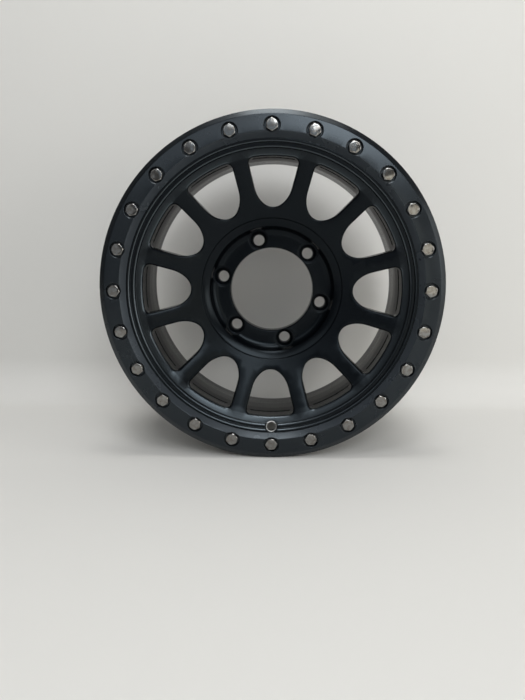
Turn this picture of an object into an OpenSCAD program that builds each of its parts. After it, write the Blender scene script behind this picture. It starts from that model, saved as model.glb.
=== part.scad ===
// Beadlock-style car wheel: a one-piece cast wheel with twelve windows and
// a separate outer ring held to its front flange by hex bolts.
// Millimetres. The wheel turns about Y, its show face looks along -Y and
// the origin is the centre of the face that bolts to the hub.
// Angles round the wheel are clockwise from the top, seen from the front.

/* [Rim] */
// Diameter of the tyre's bead seats, 16 inch class
rim_dia = 405.6; // [400:0.1:412]
// Width between the two flanges, 8 inch class
rim_width = 203.2; // [190:0.1:216]
// Hub face to the middle of the rim, positive towards the vehicle
offset_y = 40; // [30:0.5:46]
// Height of the flanges above the bead seats
flange_h = 17.5; // [15:0.1:19]
// Thickness of the flanges at their roots
flange_t = 11.5; // [10:0.1:14]
// Width of a bead seat, flange to hump
seat_w = 21; // [18:0.5:24]
// Height of the safety humps above the seats
hump_h = 1.1; // [0.6:0.1:2]
// Depth of the drop centre below the bead seats
well_h = 17.3; // [15:0.1:20]
// Width of the floor of the drop centre
well_w = 34; // [24:1:40]
// Front flange to the floor of the drop centre
well_gap = 39.6; // [36:0.1:44]
// Wall of the drop centre
well_t = 8; // [6:0.5:9]
// Wall of the barrel behind the drop centre
barrel_t = 6.6; // [5:0.1:8]

/* [Outer ring] */
// How far the ring stands out past the flange, all round
ring_over = 2; // [0.5:0.1:4]
// Width of the ring, from its bore to its outside
ring_w = 33.3; // [32:0.1:35]
// Thickness of the ring
ring_t = 11; // [10:0.1:14]
// Slope of the inner edge, measured across the face
ring_slope = 5.6; // [4:0.1:7]
// Width of the bevel round the outside
ring_bevel = 6.6; // [4:0.1:8]
// Depth of the bevel round the outside
ring_bevel_h = 4.4; // [3:0.1:6]
// How far the face falls back between its inner and its outer edge
ring_fall = 1.6; // [0:0.1:2.5]

/* [Ring bolts] */
// Number of bolts round the ring
bolt_count = 24; // [12:1:32]
// Radius of the bolt circle beyond that of the bead seats
bolt_out = 0.4; // [-1:0.1:2]
// Thread diameter, 3/8 inch
bolt_d = 9.5; // [8:0.1:10]
// Length under the head
bolt_len = 13; // [11:0.5:14]
// Width of the hex head across its flats, 9/16 inch
head_af = 14.3; // [13:0.1:16]
// Height of the hex head
head_h = 6.2; // [5:0.1:7]
// Diameter of the counterbore round the head
cbore_d = 19.6; // [19:0.1:21]
// How far the head lies below the ring's face
head_sink = 0.5; // [0.2:0.1:1]
// Diameter of the flat on top of the head, inside its chamfer
head_flat_d = 12.9; // [12:0.1:13.6]

/* [Windows and spokes] */
// Number of windows, and of the spokes between them
window_count = 12; // [10:1:14]
// Width of a spoke's face
spoke_w = 21; // [16:0.5:24]
// Width of the plain hub ring between the recess and the windows
hub_ring_w = 13.7; // [10:0.1:18]
// Width of the plain band between the windows and the lips
rim_band_w = 8.1; // [6:0.1:11]
// Radius in the outer corners of the windows
window_corner = 7; // [4:0.5:10]
// Length of the rounded inner end
tip_len = 24; // [18:1:30]
// Turn of the windows against the bolts
window_turn = 0.7; // [-2:0.1:2]
// Draft of a window's side walls in degrees
window_draft = 1; // [0:0.5:2]
// Rounding of the front edges of the windows
window_round = 2.8; // [1.5:0.1:3.5]
// Depth of the spokes' backs in front of the hub face, at the hub
back_gap = 8; // [6:0.5:12]
// How much further forward their backs lie at the rim
back_slope = 12; // [8:1:18]
// Depth of the spokes' outer ends behind the flange's front face
land_gap = 6.4; // [5:0.1:9]

/* [Hub] */
// Diameter of the open centre bore
bore_d = 114; // [106:0.1:115]
// Diameter of the wheel bolt circle
lug_pcd = 139.7; // [138:0.1:142]
// Number of wheel bolt holes
lug_count = 6; // [5:1:6]
// Diameter of the holes for the studs
lug_hole_d = 15; // [13:0.1:16]
// Large diameter of the tapered nut seats
lug_seat_d = 23.5; // [20:0.1:25]
// Diameter of the round pockets for the nuts
lug_pocket_d = 28; // [26:0.1:30]
// Depth of the pockets below the pad's face
lug_pocket_h = 3; // [2:0.5:5]
// Angle of the first wheel bolt hole, counted back from the top
lug_turn = 15; // [0:1:30]
// Thickness of the bolting pad
pad_t = 22; // [20:0.5:26]
// How far the flat of the pad reaches past the wheel bolt circle
pad_past = 3.65; // [2:0.05:5]
// Radius of the fillet round the pad
pad_fillet = 11; // [8:0.5:12]
// Outside diameter of the hub face
hub_face_d = 176; // [166:1:190]
// Width of the recess outside that fillet
recess_w = 11; // [8:0.1:14]
// Height of the recess's edge above the pad
recess_h = 17.3; // [16:0.1:20]
// Height of the hub ring's outer edge above the recess's edge
hub_ring_h = 4.6; // [3:0.1:6]

/* [Valve hole] */
// Diameter of the valve hole
valve_d = 11.5; // [11.3:0.1:12]
// Radius of the hole's mouth beyond the foot of the inner lip
valve_out = 0.4; // [-0.5:0.1:1.5]
// Outward lean of the hole in degrees
valve_lean = 10; // [6:1:12]
// Diameter of the flat round its mouth
valve_flat_d = 17; // [16:0.1:18]
// Chamfer round its mouth
valve_chamfer = 1.4; // [0.5:0.1:2]
// Wall that the valve grips
valve_wall = 5; // [4:0.5:7]
// Diameter of the relief on the tyre side
valve_relief_d = 18; // [16:0.5:19]

/* [Hidden] */
$fn = 180;
eps = 0.01;
over = 1;

// Planes across the axis, as Y values
front_in = offset_y - rim_width / 2;
rear_in = offset_y + rim_width / 2;
flange_front = front_in - flange_t;
flange_rear = rear_in + flange_t;
face_y = flange_front - ring_t;
pad_y = -pad_t;
back_y = -back_gap;
back_rim_y = back_y - back_slope;
land_y = flange_front + land_gap;
recess_y = pad_y - recess_h;
spoke_in_y = recess_y - hub_ring_h;

// Outside of the rim
seat_r = rim_dia / 2;
flange_r = seat_r + flange_h;
flange_round = 8.8;
flange_root = 6.5;
edge = 1;
seat_fall = (seat_w - flange_root) * tan(5);
hump_r = seat_r - seat_fall + hump_h;
hump_w = 2.6;
hump_lead = 2;
ramp = 3.2;
well_r = seat_r - well_h;
well_y0 = front_in + well_gap;
well_y1 = well_y0 + well_w;
well_edge = 1.5;
ledge_r = seat_r - seat_fall - 1.8;
ledge_fall = 3.8;
ledge_lead = 2;

// Inside of the barrel
well_in_r = well_r - well_t;
well_in_lead = 1;
rise = 12;
lip_in_r = seat_r - barrel_t + 0.6;
lip_round = 3;
lip_lead = 2;
lip_rise = 6;

// Ring and the lips between it and the spokes
ring_r = flange_r + ring_over;
ring_in = ring_r - ring_w;
ring_foot = 2.2;
ring_edge = 0.8;
ring_in_round = 1.4;
ring_out_round = 3;
ring_out_lead = 1.2;
ring_face_in = ring_in + ring_slope + ring_in_round;
ring_face_out = ring_r - ring_bevel - ring_out_lead;
register_h = 2.5;
register_edge = 0.5;
fit = 0.1;
register_r = ring_in - fit;
lip_out_r = register_r - 1.6;
lip_out_round = 3;
lip_in_w = 5.5;
lip_foot_r = lip_out_r - lip_in_w;
lip_foot_round = 3.5;
lip_y = flange_front + 2.1;
land_edge = 0.6;
land_rise = 0.3;
land_r = lip_foot_r - lip_foot_round - land_edge;

// Hub and windows
lug_r = lug_pcd / 2;
pad_r = lug_r + pad_past;
bore_edge = 1.5;
recess_r = pad_r + pad_fillet + recess_w;
recess_edge = 1.8;
recess_lean = 1;
hub_step_w = 5;
hub_step_h = 4;
window_in = recess_r + hub_ring_w;
window_out = land_r - rim_band_w;
hub_edge_r = window_in + 1;

// Bolts
bolt_r = seat_r + bolt_out;
bolt_face_y = face_y + ring_fall * (bolt_r - ring_face_in) / (ring_face_out - ring_face_in);
cbore_h = head_h + head_sink;
cbore_edge = 1;
seat_plane = bolt_face_y + cbore_h;
bolt_hole_d = bolt_d + 1;
tap_d = bolt_d + 0.1;
tap_end = seat_plane + bolt_len + over;
hex_d = head_af / cos(30);
head_slope = 30;
bolt_tip = 1;
twist_step = 37;
bolt_names = [for (i = [1 : bolt_count]) str("ring_bolt_", i < 10 ? "0" : "", i)];

// Points of an arc round centre c, from angle a0 to angle a1
function arc(c, r, a0, a1, n = 5) =
  [for (i = [0 : n]) let (a = a0 + (a1 - a0) * i / n) [c[0] + r * cos(a), c[1] + r * sin(a)]];

// Turns what is drawn about Z so that it lies about Y
module wheel_axis() rotate([-90, 0, 0]) children();

// Puts the local X axis at an angle clockwise from the top
module at_clock(a) rotate([0, 0, a - 90]) children();

// Half of a window's width at radius u along its middle line
pitch = 180 / window_count;
tip_shape = 2.2;
function side_half(u, w) = u * tan(pitch) - w / 2 / cos(pitch);
function tip_share(t) = pow(1 - pow(1 - t, tip_shape), 1 / tip_shape);

// Centre of a window's outer corner arc, for an outer end at radius r_end
function corner_centre(r_end, w) =
  let (k = tan(pitch), c = -w / 2 / cos(pitch) - window_corner / cos(pitch), p = r_end - window_corner)
  let (u = (-c * k + sqrt(c * c * k * k - (1 + k * k) * (c * c - p * p))) / (1 + k * k))
  [u, c + k * u];

// One side of a window's outline, from the inner end to the outer corner
function window_side(r_end, w, tip_n = 9) =
  let (cc = corner_centre(r_end, w), out_a = atan2(cc[1], cc[0]))
  concat(
    [for (i = [1 : tip_n]) let (t = i * i / tip_n / tip_n, u = window_in + tip_len * t)
      [u, side_half(u, w) * tip_share(t)]],
    arc(cc, window_corner, 90 + pitch, out_a, 5));

// A window's whole outline: inner end, one side, outer arc, other side
function window_outline(r_end, w, arc_n = 6) =
  let (side = window_side(r_end, w), cc = corner_centre(r_end, w), out_a = atan2(cc[1], cc[0]))
  concat(
    [[window_in, 0]],
    side,
    [for (i = [1 : arc_n - 1]) let (a = out_a - 2 * out_a * i / arc_n) r_end * [cos(a), sin(a)]],
    [for (i = [len(side) - 1 : -1 : 0]) [side[i][0], -side[i][1]]]);

// Height of the spokes' faces at radius r
function face_at(r) = r > hub_edge_r
  ? land_y + (spoke_in_y - land_y) * (land_r - r) / (land_r - hub_edge_r)
  : spoke_in_y + hub_ring_h * (hub_edge_r - r) / (hub_edge_r - recess_r);

// Points moved outwards, square to the outline that they follow
function unit(v) = v / norm(v);
function moved(p, d) =
  [for (i = [0 : len(p) - 1])
    let (t = unit(p[(i + 1) % len(p)] - p[(i + len(p) - 1) % len(p)])) p[i] + d * [-t[1], t[0]]];
function at_height(p, y) = [for (q = p) [q[0], q[1], y]];
function below_face(p, h) = [for (q = p) [q[0], q[1], face_at(norm(q)) + h]];

// A window's cutter: its front edge flares in a rounding that follows the
// sloping face, and its walls are drafted towards the spokes' backs
cut_front = land_y - 4;
cut_back = back_y + over;
flare_end = 72;
flare_steps = 3;
flare_over = 0.35;
wall_step = 0.5;
wall_lead = 2;
module window_cutter() {
  r = window_round;
  widen = 2 * (back_rim_y - land_y) * tan(window_draft);
  front = window_outline(window_out, spoke_w);
  back = window_outline(well_in_r + wall_step, spoke_w + widen);
  out_d = r * (1 - cos(flare_end)) + (flare_over + r * (1 - sin(flare_end))) * tan(flare_end);
  flare = [for (i = [flare_steps : -1 : 1]) flare_end * i / flare_steps];
  rings = concat(
    [at_height(moved(front, out_d), cut_front), below_face(moved(front, out_d), -flare_over)],
    [for (a = flare) below_face(moved(front, r * (1 - cos(a))), r * (1 - sin(a)))],
    [below_face(front, r), at_height(back, back_rim_y - wall_lead), at_height(back, cut_back)]);
  n = len(front);
  last = len(rings) - 1;
  walls = [for (k = [0 : last - 1], i = [0 : n - 1]) let (a = k * n, j = (i + 1) % n)
    each [[a + i, a + j, a + n + j], [a + i, a + n + j, a + n + i]]];
  ends = [[for (i = [n - 1 : -1 : 0]) i], [for (i = [0 : n - 1]) last * n + i]];
  polyhedron([for (ring = rings) each ring], concat(ends, walls));
}

// Half section of the casting, from the bore round the front to the rear
front_profile = concat(
  [[bore_d / 2, pad_y + bore_edge], [bore_d / 2 + bore_edge, pad_y]],
  arc([pad_r, pad_y - pad_fillet], pad_fillet, 90, 0, 6),
  [[pad_r + pad_fillet + recess_edge, pad_y - pad_fillet - recess_edge],
   [recess_r - recess_lean, recess_y + recess_edge],
   [recess_r, recess_y],
   [hub_edge_r, spoke_in_y],
   [land_r, land_y],
   [lip_foot_r - lip_foot_round, land_y - land_rise]],
  arc([lip_foot_r, lip_y + lip_foot_round], lip_foot_round, 180, 270),
  [[lip_out_r - lip_out_round, lip_y]],
  arc([lip_out_r, flange_front - register_h + lip_out_round], lip_out_round, 180, 270),
  [[register_r - register_edge, flange_front - register_h],
   [register_r, flange_front - register_h + register_edge],
   [register_r, flange_front],
   [flange_r - edge, flange_front],
   [flange_r, flange_front + edge]]);
hump_front = front_in + seat_w + hump_lead;
hump_rear = rear_in - seat_w - hump_lead;
tyre_profile = concat(
  arc([flange_r - flange_round, front_in - flange_round], flange_round, 0, 90),
  arc([seat_r + flange_root, front_in + flange_root], flange_root, 270, 180),
  [[seat_r - seat_fall, front_in + seat_w],
   [hump_r, hump_front],
   [hump_r, hump_front + hump_w],
   [hump_r - ramp, hump_front + hump_w + ramp],
   [well_r + well_edge, well_y0 - well_edge],
   [well_r, well_y0],
   [well_r, well_y1],
   [ledge_r - ledge_fall, well_y1 + rise + ledge_lead],
   [ledge_r, hump_rear - hump_w - ramp],
   [hump_r, hump_rear - hump_w],
   [hump_r, hump_rear],
   [seat_r - seat_fall, rear_in - seat_w]],
  arc([seat_r + flange_root, rear_in - flange_root], flange_root, 180, 90),
  arc([flange_r - flange_round, rear_in + flange_round], flange_round, 270, 360),
  [[flange_r, flange_rear - edge], [flange_r - edge, flange_rear]]);
lip_start = rear_in - seat_w + lip_lead;
barrel_profile = concat(
  arc([lip_in_r + lip_round, flange_rear - lip_round], lip_round, 90, 180, 4),
  [[seat_r - barrel_t, lip_start],
   [ledge_r - barrel_t, lip_start - lip_rise],
   [ledge_r - ledge_fall - barrel_t, well_y1 + rise],
   [well_in_r, well_y1 + well_in_lead],
   [well_in_r, back_rim_y],
   [hub_face_d / 2 + hub_step_w, back_y],
   [hub_face_d / 2, back_y + hub_step_h],
   [hub_face_d / 2, -edge],
   [hub_face_d / 2 - edge, 0],
   [bore_d / 2 + bore_edge, 0],
   [bore_d / 2, -bore_edge]]);

// Stud hole, tapered seat and nut pocket, in line with the axis
pocket_over = 4;
seat_taper_h = (lug_seat_d - lug_hole_d) / 2 / tan(30);
module lug_cut() {
  floor_y = pad_y + lug_pocket_h;
  translate([0, 0, floor_y]) cylinder(d = lug_hole_d, h = pad_t);
  translate([0, 0, floor_y - eps]) cylinder(d1 = lug_seat_d, d2 = lug_hole_d, h = seat_taper_h);
  translate([0, 0, recess_y - pocket_over])
    cylinder(d = lug_pocket_d, h = floor_y - recess_y + pocket_over);
}

// Valve hole with the flat round its mouth and the relief on the tyre side
valve_r = lip_foot_r + valve_out;
valve_sink = 2;
valve_over = 20;
valve_back = 50;
module valve_cut() {
  translate([valve_r, 0, lip_y + valve_sink]) rotate([0, valve_lean, 0]) {
    translate([0, 0, -valve_over]) cylinder(d = valve_flat_d, h = valve_over);
    translate([0, 0, -over]) cylinder(d = valve_d, h = valve_wall + 2 * over);
    translate([0, 0, -eps]) cylinder(d1 = valve_d + 2 * valve_chamfer, d2 = valve_d, h = valve_chamfer);
    translate([0, 0, valve_wall]) cylinder(d = valve_relief_d, h = valve_back);
  }
}

// The one-piece casting: hub, spokes, barrel and both flanges
module wheel_casting() {
  color([0.1, 0.1, 0.11]) wheel_axis() difference() {
    rotate_extrude() polygon(concat(front_profile, tyre_profile, barrel_profile));
    for (i = [0 : window_count - 1]) at_clock(window_turn + i * 360 / window_count) window_cutter();
    for (i = [0 : lug_count - 1])
      at_clock(i * 360 / lug_count - lug_turn) translate([lug_r, 0, 0]) lug_cut();
    for (i = [0 : bolt_count - 1])
      at_clock(i * 360 / bolt_count) translate([bolt_r, 0, flange_front - over])
        cylinder(d = tap_d, h = tap_end - flange_front + over);
    at_clock(180) valve_cut();
  }
}

// The outer ring, with a counterbored hole for each bolt
slope_a = 180 + atan(ring_slope / (ring_t - ring_foot));
fall_a = 270 + atan(ring_fall / (ring_face_out - ring_face_in));
bevel_a = 270 + atan(ring_bevel_h / ring_bevel);
bevel_y = face_y + ring_fall;
ring_profile = concat(
  [[ring_in, face_y + ring_t], [ring_in, face_y + ring_t - ring_foot]],
  arc([ring_face_in, face_y + ring_in_round], ring_in_round, slope_a, fall_a, 4),
  arc([ring_face_out, bevel_y + ring_out_round], ring_out_round, fall_a, bevel_a, 4),
  [[ring_r, bevel_y + ring_bevel_h + ring_edge],
   [ring_r, face_y + ring_t - ring_edge],
   [ring_r - ring_edge, face_y + ring_t]]);
module outer_ring() {
  color([0.1, 0.1, 0.11]) wheel_axis() difference() {
    rotate_extrude() polygon(ring_profile);
    for (i = [0 : bolt_count - 1]) at_clock(i * 360 / bolt_count) translate([bolt_r, 0, bolt_face_y]) {
      translate([0, 0, -over]) cylinder(d = cbore_d, h = cbore_h + over);
      translate([0, 0, -over])
        cylinder(d1 = cbore_d + 2 * (cbore_edge + over), d2 = cbore_d, h = cbore_edge + over);
      cylinder(d = bolt_hole_d, h = ring_t + over);
    }
  }
}

// A hex head bolt; each was tightened to its own angle
module ring_bolt(i) {
  color([0.72, 0.73, 0.75]) wheel_axis() at_clock(i * 360 / bolt_count)
    translate([bolt_r, 0, seat_plane]) rotate([0, 0, (i * twist_step) % 60]) {
      intersection() {
        translate([0, 0, -head_h]) cylinder(d = hex_d, h = head_h, $fn = 6);
        translate([0, 0, -head_h])
          cylinder(d1 = head_flat_d, d2 = head_flat_d + 2 * head_h / tan(head_slope), h = head_h);
      }
      translate([0, 0, -over]) cylinder(d = bolt_d, h = bolt_len);
      translate([0, 0, bolt_len - bolt_tip - eps])
        cylinder(d1 = bolt_d, d2 = bolt_d - 2 * bolt_tip, h = bolt_tip);
    }
}

wheel_casting();
outer_ring();
for (i = [0 : bolt_count - 1]) ring_bolt(i);
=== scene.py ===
import bpy
import math
from mathutils import Matrix, Vector


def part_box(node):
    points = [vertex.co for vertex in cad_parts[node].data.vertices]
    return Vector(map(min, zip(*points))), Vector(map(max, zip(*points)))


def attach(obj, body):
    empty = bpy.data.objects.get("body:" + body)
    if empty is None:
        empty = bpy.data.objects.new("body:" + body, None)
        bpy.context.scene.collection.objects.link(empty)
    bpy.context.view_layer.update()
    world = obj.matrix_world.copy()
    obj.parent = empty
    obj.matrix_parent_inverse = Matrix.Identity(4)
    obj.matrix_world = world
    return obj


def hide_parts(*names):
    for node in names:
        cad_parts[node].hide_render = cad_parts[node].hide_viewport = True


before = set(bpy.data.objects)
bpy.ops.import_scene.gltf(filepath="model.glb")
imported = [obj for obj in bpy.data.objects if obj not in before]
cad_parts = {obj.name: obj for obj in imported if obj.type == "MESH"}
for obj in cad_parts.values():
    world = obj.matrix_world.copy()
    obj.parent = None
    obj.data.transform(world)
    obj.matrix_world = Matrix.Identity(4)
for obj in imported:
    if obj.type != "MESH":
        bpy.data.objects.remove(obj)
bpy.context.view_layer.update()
print("frame loaded:", len(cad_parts), "nodes")

mm = 0.001


def cleanSlate():
    # nothing selected, and no object left in edit mode
    if bpy.context.mode != "OBJECT":
        bpy.ops.object.mode_set(mode="OBJECT")
    bpy.ops.object.select_all(action="DESELECT")


def pick(obj):
    cleanSlate()
    obj.select_set(True)
    bpy.context.view_layer.objects.active = obj


# Helpers for shader nodes


def setOrLink(tree, socket, value):
    # a plain value goes onto the socket, another node's output is linked to it
    if isinstance(value, (int, float, tuple)):
        socket.default_value = value
    else:
        tree.links.new(value, socket)


def mathNode(tree, operation, a, b=None, clamp=False):
    node = tree.nodes.new("ShaderNodeMath")
    node.operation = operation
    node.use_clamp = clamp
    for socket, value in zip(node.inputs, (a, b)):
        if value is not None:
            setOrLink(tree, socket, value)
    return node.outputs[0]


def vectorNode(tree, operation, a, b=None):
    node = tree.nodes.new("ShaderNodeVectorMath")
    node.operation = operation
    for socket, value in zip(node.inputs, (a, b)):
        if value is not None:
            setOrLink(tree, socket, value)
    return node


def noiseNode(tree, place, scale, detail, rough=0.5):
    noise = tree.nodes.new("ShaderNodeTexNoise")
    setOrLink(tree, noise.inputs["Scale"], scale)
    noise.inputs["Detail"].default_value = detail
    noise.inputs["Roughness"].default_value = rough
    tree.links.new(place, noise.inputs["Vector"])
    return noise.outputs["Fac"]


def mixColor(tree, factor, a, b):
    node = tree.nodes.new("ShaderNodeMix")
    node.data_type = "RGBA"
    for name, value in (("Factor", factor), ("A", a), ("B", b)):
        setOrLink(tree, node.inputs[name], value)
    return node.outputs["Result"]


def spread(tree, value, low, high, fromLow, fromHigh):
    # carries the value from one span to another and keeps it inside
    node = tree.nodes.new("ShaderNodeMapRange")
    tree.links.new(value, node.inputs["Value"])
    node.inputs["From Min"].default_value = fromLow
    node.inputs["From Max"].default_value = fromHigh
    node.inputs["To Min"].default_value = low
    node.inputs["To Max"].default_value = high
    return node.outputs["Result"]


# Camera and stage

viewSize = {
    "place": (3.1 * mm, -784.9 * mm, 31.0 * mm),
    "turn": 1.2,  # degrees towards the left
    "tilt": 8.65,  # degrees down
    "focalPixels": 548,
    "imageHeight": 700,
    "sensor": 36,
    "near": 0.01,
}


def makeCamera(size):
    bpy.ops.object.camera_add(location=size["place"])
    cam = bpy.context.object
    cam.name = "photoCamera"
    cam.rotation_euler = (math.radians(90 - size["tilt"]), 0, math.radians(size["turn"]))
    cam.data.sensor_width = size["sensor"]
    # the photo is upright, so the sensor's size runs along its height
    cam.data.lens = size["focalPixels"] / size["imageHeight"] * size["sensor"]
    cam.data.clip_start = size["near"]
    bpy.context.scene.camera = cam


makeCamera(viewSize)
bpy.context.scene.view_settings.view_transform = "Standard"
print("camera set")

stageSize = {
    "floor": -222.6 * mm,
    "halfWidth": 4.0,
    "front": -4.0,
    "wall": 0.25,
    "bend": 0.08,
    "bendSteps": 16,
    "height": 3.2,
    "smooth": 40,
    "color": (0.70, 0.69, 0.665, 1),
    "rough": 0.9,
    "shine": 0.1,
}


def makeStage(size):
    # a floor that bends up into a back wall, drawn out of one edge
    cleanSlate()
    bpy.ops.mesh.primitive_plane_add(size=1, location=(0, 0, 0))
    sweep = bpy.context.object
    sweep.name = "paleSweep"
    for v in sweep.data.vertices:
        v.co.x = math.copysign(size["halfWidth"], v.co.x)
        v.co.y = size["front"] if v.co.y < 0 else size["wall"] - size["bend"]
        v.co.z = size["floor"]
    bpy.ops.object.mode_set(mode="EDIT")
    bpy.ops.mesh.select_all(action="DESELECT")
    bpy.ops.mesh.select_mode(type="EDGE")
    bpy.ops.object.mode_set(mode="OBJECT")
    for e in sweep.data.edges:
        e.select = all(sweep.data.vertices[i].co.y > 0 for i in e.vertices)
    bpy.ops.object.mode_set(mode="EDIT")
    step = math.radians(90) / size["bendSteps"]
    for i in range(size["bendSteps"]):
        a = (i + 0.5) * step
        run = 2 * size["bend"] * math.sin(step / 2)
        bpy.ops.mesh.extrude_region_move(
            TRANSFORM_OT_translate={"value": (0, run * math.cos(a), run * math.sin(a))}
        )
    bpy.ops.mesh.extrude_region_move(TRANSFORM_OT_translate={"value": (0, 0, size["height"])})
    bpy.ops.mesh.select_all(action="SELECT")
    bpy.ops.mesh.normals_make_consistent(inside=False)
    bpy.ops.object.mode_set(mode="OBJECT")
    if sweep.data.polygons[0].normal.z < 0:
        bpy.ops.object.mode_set(mode="EDIT")
        bpy.ops.mesh.flip_normals()
        bpy.ops.object.mode_set(mode="OBJECT")
    bpy.ops.object.shade_smooth_by_angle(angle=math.radians(size["smooth"]))
    sweep.data.materials.append(makePaper(size))


def makePaper(size):
    # the wall stands close behind the wheel, so a camera behind it looks through its back
    paper = bpy.data.materials.new("palePaper")
    paper.use_nodes = True
    skin = paper.node_tree.nodes["Principled BSDF"]
    skin.inputs["Base Color"].default_value = size["color"]
    skin.inputs["Roughness"].default_value = size["rough"]
    skin.inputs["Specular IOR Level"].default_value = size["shine"]
    link = paper.node_tree.links.new
    behind = paper.node_tree.nodes.new("ShaderNodeNewGeometry")
    ray = paper.node_tree.nodes.new("ShaderNodeLightPath")
    through = mathNode(
        paper.node_tree, "MULTIPLY", behind.outputs["Backfacing"], ray.outputs["Is Camera Ray"]
    )
    mix = paper.node_tree.nodes.new("ShaderNodeMixShader")
    clear = paper.node_tree.nodes.new("ShaderNodeBsdfTransparent")
    link(through, mix.inputs[0])
    link(skin.outputs[0], mix.inputs[1])
    link(clear.outputs[0], mix.inputs[2])
    link(mix.outputs[0], paper.node_tree.nodes["Material Output"].inputs["Surface"])
    return paper


skySize = {
    "below": (0.88, 0.88, 0.87, 1),
    "above": (0.12, 0.12, 0.12, 1),
    "belowEnds": -0.3,  # sine of the angle above the horizon
    "aboveStarts": -0.05,
}


def makeSky(size):
    # a pale room below eye level and a dim one above it
    world = bpy.data.worlds.new("studioSky")
    bpy.context.scene.world = world
    world.use_nodes = True
    tree = world.node_tree
    where = tree.nodes.new("ShaderNodeTexCoord")
    split = tree.nodes.new("ShaderNodeSeparateXYZ")
    tree.links.new(where.outputs["Generated"], split.inputs[0])
    rise = spread(tree, split.outputs["Z"], 0, 1, size["belowEnds"], size["aboveStarts"])
    tint = mixColor(tree, rise, size["below"], size["above"])
    tree.links.new(tint, tree.nodes["Background"].inputs["Color"])


makeStage(stageSize)
makeSky(skySize)
print("stage made")

lampSizes = [
    # name, degrees up, degrees to the right, distance, width, radiance, colour
    ("ceilingFront", 31, 15, 2.3, 0.9, 6.2, (0.95, 0.98, 1.0)),
    ("ceilingAbove", 84, 0, 2.3, 0.75, 7.5, (1.0, 1.0, 0.98)),
    ("ceilingRight", 72, 60, 2.3, 0.6, 2.0, (1.0, 0.99, 0.96)),
    ("ceilingLeft", 72, -60, 2.3, 0.6, 0.8, (0.96, 0.98, 1.0)),
    ("softFront", 29, -4, 2.3, 0.6, 1.6, (1.0, 1.0, 1.0)),
    ("softLeft", 27, -24, 2.3, 0.8, 1.2, (0.93, 0.97, 1.0)),
    ("rightWindow", 6, 45, 2.3, 0.6, 3.8, (1.0, 0.98, 0.93)),
    ("rightNear", 2, 16, 2.3, 0.75, 1.2, (1.0, 0.95, 0.82)),
    ("softHigh", 17, 0, 2.3, 0.9, 0.44, (0.72, 0.86, 1.0)),
    ("ceilingMiddle", 58, 0, 2.3, 0.6, 8.0, (0.97, 0.98, 1.0)),
    ("leftRoom", 5, -28, 2.3, 0.8, 0.35, (0.93, 0.97, 1.0)),
    ("rightWall", 8, 68, 2.2, 1.6, 1.4, (1.0, 0.99, 0.96)),
]


def makeLamps(rows):
    # square lamps on a sphere round the wheel, all turned to its centre
    for name, rise, side, distance, width, bright, color in rows:
        up, right = math.radians(rise), math.radians(side)
        place = distance * Vector(
            (math.cos(up) * math.sin(right), -math.cos(up) * math.cos(right), math.sin(up))
        )
        cleanSlate()
        bpy.ops.object.light_add(type="AREA", location=place)
        lamp = bpy.context.object
        lamp.name = name
        lamp.data.shape = "SQUARE"
        lamp.data.size = width
        lamp.data.energy = bright * math.pi * width**2
        lamp.data.color = color
        lamp.rotation_euler = (-place).to_track_quat("-Z", "Y").to_euler()
        lamp.visible_camera = False


makeLamps(lampSizes)
print("lamps hung")

# Finishes


def newGroup(name, inputs, outputs):
    group = bpy.data.node_groups.new(name, "ShaderNodeTree")
    for label, value in inputs:
        socket = group.interface.new_socket(
            name=label, in_out="INPUT", socket_type="NodeSocketFloat"
        )
        socket.default_value = value
    for label in outputs:
        kind = "NodeSocketVector" if label == "Normal" else "NodeSocketFloat"
        group.interface.new_socket(name=label, in_out="OUTPUT", socket_type=kind)
    return group, group.nodes.new("NodeGroupInput"), group.nodes.new("NodeGroupOutput")


grainSize = {
    "peel": 900,  # scales of the noises, in waves per metre
    "wave": 45,
    "film": 14,
    "detail": 2,
    "filmDetail": 5,
    "filmRough": 0.6,
    "waveWeight": 1.4,
}


def paintGrainGroup(size):
    # orange peel of sprayed paint with a slow waviness under it, and a thin film of dust
    group, given, out = newGroup(
        "paintGrain", [("Peel Size", size["peel"]), ("Wave Size", size["wave"])], ["Height", "Film"]
    )
    where = group.nodes.new("ShaderNodeTexCoord").outputs["Object"]
    peel = noiseNode(group, where, given.outputs["Peel Size"], size["detail"])
    wave = noiseNode(group, where, given.outputs["Wave Size"], size["detail"])
    height = mathNode(group, "MULTIPLY_ADD", wave, size["waveWeight"])
    group.links.new(peel, height.node.inputs[2])
    film = noiseNode(group, where, size["film"], size["filmDetail"], size["filmRough"])
    group.links.new(height, out.inputs["Height"])
    group.links.new(film, out.inputs["Film"])
    return group


edgeSize = {"reach": 0.6 * mm, "gain": 2.5, "samples": 6}


def edgeWearAndHighlightGroup(size):
    # 1 on narrow edges, where the finish is thin or worn and the paint carries a painted highlight,
    # and 0 on the faces, and the normal of an edge with a small radius
    group, given, out = newGroup(
        "edgeWearAndHighlight", [("Reach", size["reach"]), ("Gain", size["gain"])], ["Edge", "Normal"]
    )
    rounded = group.nodes.new("ShaderNodeBevel")
    rounded.samples = size["samples"]
    flat = group.nodes.new("ShaderNodeNewGeometry")
    link = group.links.new
    link(given.outputs["Reach"], rounded.inputs["Radius"])
    link(rounded.outputs[0], out.inputs["Normal"])
    dot = vectorNode(group, "DOT_PRODUCT", rounded.outputs[0], flat.outputs["Normal"])
    bent = mathNode(group, "SUBTRACT", 1.0, dot.outputs["Value"], clamp=True)
    edge = mathNode(group, "MULTIPLY", bent, given.outputs["Gain"], clamp=True)
    link(edge, out.inputs["Edge"])
    return group


paintGrain = paintGrainGroup(grainSize)
edgeWearAndHighlight = edgeWearAndHighlightGroup(edgeSize)


def useGroup(tree, group, **values):
    node = tree.nodes.new("ShaderNodeGroup")
    node.node_tree = group
    for name, value in values.items():
        node.inputs[name.replace("_", " ")].default_value = value
    return node


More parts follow.
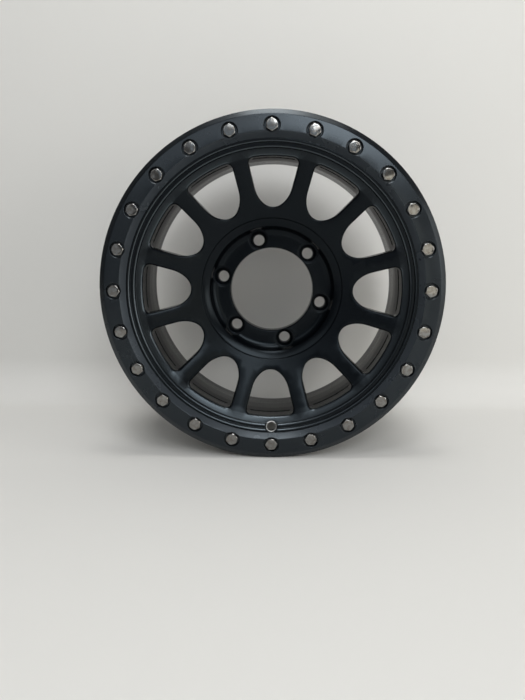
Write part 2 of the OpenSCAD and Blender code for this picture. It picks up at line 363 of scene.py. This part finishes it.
def addBump(tree, skin, height, strength, distance, normal):
    node = tree.nodes.new("ShaderNodeBump")
    node.inputs["Strength"].default_value = strength
    node.inputs["Distance"].default_value = distance
    tree.links.new(height, node.inputs["Height"])
    tree.links.new(normal, node.inputs["Normal"])
    tree.links.new(node.outputs["Normal"], skin.inputs["Normal"])


def startMaterial(name):
    material = bpy.data.materials.new(name)
    material.use_nodes = True
    return material, material.node_tree, material.node_tree.nodes["Principled BSDF"]


# radii and depths between which a mask rises or falls
dustAndSheenBand = {
    "footIn": (169 * mm, 170 * mm),
    "footOut": (194.5 * mm, 196 * mm),
    "footBack": (-60.5 * mm, -58 * mm),
}


def ringFoot(tree, size):
    # 1 on the lips and on the ring's inner cone, and 0 elsewhere: there dust stays on the casting,
    # and the ring's paint is lighter as a painted reflection
    where = tree.nodes.new("ShaderNodeTexCoord").outputs["Object"]
    flat = vectorNode(tree, "MULTIPLY", where, (1, 0, 1))
    far = vectorNode(tree, "LENGTH", flat.outputs[0]).outputs["Value"]
    rise = spread(tree, far, 0, 1, *size["footIn"])
    fall = spread(tree, far, 1, 0, *size["footOut"])
    depth = tree.nodes.new("ShaderNodeSeparateXYZ")
    tree.links.new(where, depth.inputs[0])
    front = spread(tree, depth.outputs["Y"], 1, 0, *size["footBack"])
    return mathNode(tree, "MULTIPLY", mathNode(tree, "MULTIPLY", rise, fall), front)


filmSpan = {"tone": (0.35, 0.7), "rough": (0.3, 0.7)}  # the film's noise lies between these


def startPaint(name, size):
    # what both black paints share: a film of dust, a band that is dusty on the casting and lighter
    # on the ring as a painted reflection, edges lightened partly as wear and partly as a painted
    # highlight, and orange peel
    material, tree, skin = startMaterial(name)
    grain = useGroup(tree, paintGrain, Peel_Size=size["peel"], Wave_Size=size["wave"])
    edge = useGroup(tree, edgeWearAndHighlight, Reach=size["reach"], Gain=size["gain"])
    film = grain.outputs["Film"]
    foot = ringFoot(tree, dustAndSheenBand)
    tone = spread(tree, film, 0, 1, *filmSpan["tone"])
    base = mixColor(tree, tone, size["dark"], size["dusty"])
    # dust on the casting's lips; on the ring's inner cone a painted reflection that lightens it
    base = mixColor(tree, foot, base, size["dustAndSheen"])
    # narrow edges lightened, partly as wear and partly as a painted highlight
    base = mixColor(tree, edge.outputs["Edge"], base, size["wearAndHighlight"])
    rough = spread(tree, film, size["roughLow"], size["roughHigh"], *filmSpan["rough"])
    skin.inputs["Specular Tint"].default_value = size["gloss"]
    addBump(
        tree, skin, grain.outputs["Height"], size["bump"], size["bumpDepth"], edge.outputs["Normal"]
    )
    return material, tree, skin, base, foot, rough


valveSize = {
    "mouth": (0, -69.0 * mm, -182.2 * mm),
    "lean": 10,
    "bore": 5.85 * mm,
    "radius": 7.25 * mm,
    "depth": 4.5 * mm,
    "skin": 0.02 * mm,
}


def nearValve(tree, size):
    # 1 on the machined ring round the valve hole, found by its distance from the hole's axis
    where = tree.nodes.new("ShaderNodeTexCoord").outputs["Object"]
    lean = math.radians(size["lean"])
    axis = (0, math.cos(lean), -math.sin(lean))
    shift = vectorNode(tree, "SUBTRACT", where, size["mouth"]).outputs[0]
    along = vectorNode(tree, "DOT_PRODUCT", shift, axis).outputs["Value"]
    foot = vectorNode(tree, "SCALE", axis)
    tree.links.new(along, foot.inputs["Scale"])
    off = vectorNode(tree, "DISTANCE", shift, foot.outputs[0]).outputs["Value"]
    close = mathNode(tree, "LESS_THAN", off, size["radius"])
    outside = mathNode(tree, "GREATER_THAN", off, size["bore"])
    deep = mathNode(tree, "LESS_THAN", along, size["depth"])
    proud = mathNode(tree, "GREATER_THAN", along, size["skin"])
    ring = mathNode(tree, "MULTIPLY", close, outside)
    return mathNode(tree, "MULTIPLY", mathNode(tree, "MULTIPLY", ring, deep), proud)


castPaint = {
    "dark": (0.0009, 0.0013, 0.0021, 1),
    "dusty": (0.0018, 0.0024, 0.0034, 1),
    "gloss": (0.76, 0.90, 1.0, 1),
    # edge colour: partly wear, partly a painted highlight
    "wearAndHighlight": (0.020, 0.021, 0.023, 1),
    # dust caked on the casting's lips
    "dustAndSheen": (0.0035, 0.0042, 0.0052, 1),
    "shine": 0.16,
    "lipShine": 1.0,
    "lipTurn": (-0.93, -0.85),  # the normal's Y where the flats end and the rounded lips begin
    "roughLow": 0.20,
    "roughHigh": 0.27,
    "bareMetal": (0.55, 0.55, 0.54, 1),
    "bareRough": 0.6,
    "peel": 1100,
    "wave": 60,
    "bump": 0.12,
    "bumpDepth": 0.06 * mm,
    "reach": 1.5 * mm,
    "gain": 1.6,
}


def makeCastPaint(size):
    material, tree, skin, base, foot, rough = startPaint("satinBlackCastPaint", size)
    bare = nearValve(tree, valveSize)
    slope = tree.nodes.new("ShaderNodeSeparateXYZ")
    tree.links.new(tree.nodes.new("ShaderNodeTexCoord").outputs["Normal"], slope.inputs[0])
    turned = spread(tree, slope.outputs["Y"], 0, 1, *size["lipTurn"])
    lip = mathNode(tree, "MULTIPLY", foot, turned)
    shine = spread(tree, lip, size["shine"], size["lipShine"], 0, 1)
    bareRough = mathNode(tree, "MULTIPLY", bare, size["bareRough"])
    link = tree.links.new
    link(mixColor(tree, bare, base, size["bareMetal"]), skin.inputs["Base Color"])
    link(bare, skin.inputs["Metallic"])
    link(shine, skin.inputs["Specular IOR Level"])
    link(mathNode(tree, "MAXIMUM", rough, bareRough), skin.inputs["Roughness"])
    return material


ringPaint = {
    "dark": (0.0014, 0.0020, 0.0030, 1),
    "dusty": (0.0028, 0.0037, 0.0050, 1),
    "gloss": (0.78, 0.90, 1.0, 1),
    # edge colour: partly wear, partly a painted highlight
    "wearAndHighlight": (0.020, 0.021, 0.023, 1),
    # lighter inner cone of the ring: a painted reflection, with a little dust
    "dustAndSheen": (0.031, 0.036, 0.042, 1),
    "shine": 0.5,
    "roughLow": 0.24,
    "roughHigh": 0.30,
    "peel": 1500,
    "wave": 35,
    "bump": 0.08,
    "bumpDepth": 0.04 * mm,
    "reach": 0.6 * mm,
    "gain": 2.2,
}


def makeRingPaint(size):
    material, tree, skin, base, _, rough = startPaint("satinBlackRingPaint", size)
    tree.links.new(base, skin.inputs["Base Color"])
    skin.inputs["Specular IOR Level"].default_value = size["shine"]
    tree.links.new(rough, skin.inputs["Roughness"])
    return material


boltZinc = {
    "clean": (0.25, 0.25, 0.245, 1),
    "dull": (0.16, 0.145, 0.13, 1),
    # hex edges lightened: partly wear, partly a painted highlight
    "wearAndHighlight": (0.55, 0.55, 0.55, 1),
    "roughLow": 0.08,
    "roughHigh": 0.14,
    "cloud": 230,
    "cloudDetail": 4,
    "cloudRough": 0.6,
    "cloudTone": (0.4, 0.66),
    "cloudSpan": (0.3, 0.7),
    "grain": 2600,
    "grainDetail": 3,
    "bump": 0.05,
    "bumpDepth": 0.02 * mm,
    "reach": 0.35 * mm,
    "gain": 2.0,
}


def makeZinc(size):
    material, tree, skin = startMaterial("zincPlate")
    where = tree.nodes.new("ShaderNodeTexCoord").outputs["Object"]
    cloud = noiseNode(tree, where, size["cloud"], size["cloudDetail"], size["cloudRough"])
    grain = noiseNode(tree, where, size["grain"], size["grainDetail"])
    edge = useGroup(tree, edgeWearAndHighlight, Reach=size["reach"], Gain=size["gain"])
    tone = spread(tree, cloud, 0, 1, *size["cloudTone"])
    base = mixColor(tree, tone, size["clean"], size["dull"])
    # bolt edges lightened, partly as wear and partly as a painted highlight
    base = mixColor(tree, edge.outputs["Edge"], base, size["wearAndHighlight"])
    rough = spread(tree, cloud, size["roughLow"], size["roughHigh"], *size["cloudSpan"])
    tree.links.new(base, skin.inputs["Base Color"])
    skin.inputs["Metallic"].default_value = 1.0
    tree.links.new(rough, skin.inputs["Roughness"])
    addBump(tree, skin, grain, size["bump"], size["bumpDepth"], edge.outputs["Normal"])
    return material


castPaintSkin = makeCastPaint(castPaint)
ringPaintSkin = makeRingPaint(ringPaint)
zincSkin = makeZinc(boltZinc)
print("finishes mixed")

# Casting and ring: the CAD shapes, welded and given smooth curved faces

shellSize = {"weld": 0.002 * mm, "smooth": 32}


def dressNode(node, name, material, size):
    cleanSlate()
    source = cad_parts[node]
    shell = source.copy()
    shell.data = source.data.copy()
    shell.name = name
    for key in [k for k in shell.keys() if k.startswith("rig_")]:
        del shell[key]
    shell.parent = None
    bpy.context.scene.collection.objects.link(shell)
    pick(shell)
    bpy.ops.mesh.customdata_custom_splitnormals_clear()
    bpy.ops.object.mode_set(mode="EDIT")
    bpy.ops.mesh.select_all(action="SELECT")
    bpy.ops.mesh.remove_doubles(threshold=size["weld"])
    bpy.ops.object.mode_set(mode="OBJECT")
    bpy.ops.object.shade_smooth_by_angle(angle=math.radians(size["smooth"]))
    shell.data.materials.clear()
    shell.data.materials.append(material)
    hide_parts(node)
    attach(shell, "root")


dressNode("wheel_casting", "castWheel", castPaintSkin, shellSize)
dressNode("outer_ring", "boltedRing", ringPaintSkin, shellSize)
print("casting and ring dressed")

# Hex bolts of the ring: one is modelled on the Z axis, head up, and copied round the circle

low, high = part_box("ring_bolt_01")  # the bolt at the top of the wheel

boltSize = {
    "count": 24,
    "circle": (low.z + high.z) / 2,
    "headTop": low.y,
    "tip": high.y,
    "across": 14.3 * mm,
    "flat": 13.4 * mm,
    "headHeight": 6.2 * mm,
    "chamferSlope": 30,
    "edgeRound": 0.22 * mm,
    "major": 9.5 * mm,
    "minor": 8.1 * mm,
    "pitch": 1.5875 * mm,
    "plain": 1.6 * mm,
    "tipTaper": 1.1 * mm,
    "threadSides": 32,
    "ringsPerTurn": 6,
    "rootWidth": 1.25,  # how far the thread's root and flanks reach, in the ridge's own units
    "flank": 3.2,
    "coneSides": 120,
    "roundSteps": 3,
    "sharp": 20,
    "smooth": 28,
    "hair": 0.01 * mm,
    "turnStep": 37,  # degrees from one bolt's hexagon to the next, as tightened
}


def applyModifier(obj, kind, **settings):
    modifier = obj.modifiers.new(kind.lower(), kind)
    for name, value in settings.items():
        setattr(modifier, name, value)
    pick(obj)
    bpy.ops.object.modifier_apply(modifier=modifier.name)


def cutWith(obj, tool, operation):
    applyModifier(obj, "BOOLEAN", operation=operation, object=tool, solver="EXACT")
    bpy.data.objects.remove(tool)
    return obj


def makeHead(size):
    cleanSlate()
    height = size["headHeight"]
    bpy.ops.mesh.primitive_cylinder_add(
        vertices=6,
        radius=size["across"] / 2 / math.cos(math.radians(30)),
        depth=height,
        location=(0, 0, height / 2),
    )
    head = bpy.context.object
    bpy.ops.object.transform_apply(location=True, rotation=True, scale=True)
    rise = height / math.tan(math.radians(size["chamferSlope"]))
    cleanSlate()
    bpy.ops.mesh.primitive_cone_add(
        vertices=size["coneSides"],
        radius1=size["flat"] / 2 + rise,
        radius2=size["flat"] / 2,
        depth=height,
        location=(0, 0, height / 2),
    )
    return cutWith(head, bpy.context.object, "INTERSECT")


def clearSelection(obj):
    for part in (obj.data.vertices, obj.data.edges, obj.data.polygons):
        part.foreach_set("select", [False] * len(part))


def roundEdges(obj, test, sharp, width, segments):
    # a bevel in edit mode on the edges that turn by more than the angle "sharp" and pass the test
    turns = {}
    for face in obj.data.polygons:
        for key in face.edge_keys:
            turns.setdefault(key, []).append(face.normal)
    pick(obj)
    clearSelection(obj)
    ends = obj.data.vertices
    for e in obj.data.edges:
        sides = turns.get(e.key, [])
        if len(sides) == 2 and sides[0].angle(sides[1]) > math.radians(sharp):
            e.select = all(test(ends[i].co) for i in e.vertices)
    bpy.ops.object.mode_set(mode="EDIT")
    bpy.ops.mesh.select_mode(type="EDGE")
    bpy.ops.mesh.bevel(offset=width, offset_type="OFFSET", segments=segments, affect="EDGES")
    bpy.ops.object.mode_set(mode="OBJECT")


def addShank(bolt, size):
    # a plain neck joined to the head, then rings pushed in or out, so that a thread climbs it
    cleanSlate()
    step = size["pitch"] / size["ringsPerTurn"]
    length = size["tip"] - size["headTop"] - size["headHeight"]
    inside = size["headHeight"] / 3
    bpy.ops.mesh.primitive_cylinder_add(
        vertices=size["threadSides"],
        radius=size["major"] / 2,
        depth=size["plain"] + inside,
        location=(0, 0, (inside - size["plain"]) / 2),
    )
    neck = bpy.context.object
    bpy.ops.object.transform_apply(location=True, rotation=True, scale=True)
    cutWith(bolt, neck, "UNION")
    hair = size["hair"]
    roundEdges(
        bolt, lambda co: co.z > -hair, size["sharp"], size["edgeRound"], size["roundSteps"]
    )
    pick(bolt)
    lowest = min(v.co.z for v in bolt.data.vertices)
    clearSelection(bolt)
    for face in bolt.data.polygons:
        face.select = face.center.z < lowest + hair
    bpy.ops.object.mode_set(mode="EDIT")
    bpy.ops.mesh.select_mode(type="FACE")
    for i in range(round((length - size["plain"]) / step)):
        bpy.ops.mesh.extrude_region_move(TRANSFORM_OT_translate={"value": (0, 0, -step)})
    bpy.ops.object.mode_set(mode="OBJECT")
    bottom = min(v.co.z for v in bolt.data.vertices)
    depth = (size["major"] - size["minor"]) / 2
    for v in bolt.data.vertices:
        if v.co.z > -size["plain"] - step / 2:
            continue
        phase = (v.co.z / size["pitch"] + math.atan2(v.co.y, v.co.x) / math.tau) % 1
        groove = min(1, max(0, size["rootWidth"] - abs(phase - 0.5) * size["flank"]))
        nearTip = max(0, 1 - (v.co.z - bottom) / size["tipTaper"])
        radius = size["major"] / 2 - depth * max(groove, nearTip)
        v.co.xy = v.co.xy.normalized() * radius
        v.co.z *= length / -bottom
    return bolt


def makeBolts(size):
    master = addShank(makeHead(size), size)
    master.data.transform(Matrix.Rotation(math.radians(90), 4, "X"))
    master.data.transform(Matrix.Translation((0, size["headTop"] + size["headHeight"], 0)))
    pick(master)
    bpy.ops.object.shade_smooth_by_angle(angle=math.radians(size["smooth"]))
    master.data.materials.clear()
    master.data.materials.append(zincSkin)
    for i in range(size["count"]):
        bolt = master.copy()
        bolt.data = master.data.copy()
        bolt.name = f"hexBolt_{i + 1:02d}"
        bpy.context.scene.collection.objects.link(bolt)
        clock = i * math.tau / size["count"]
        twist = math.radians(i * size["turnStep"] % 60)
        place = Vector((math.sin(clock), 0, math.cos(clock))) * size["circle"]
        bolt.data.transform(Matrix.Translation(place) @ Matrix.Rotation(clock + twist, 4, "Y"))
        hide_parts(f"ring_bolt_{i + 1:02d}")
        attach(bolt, "root")
    bpy.data.objects.remove(master)


makeBolts(boltSize)
print("bolts in")
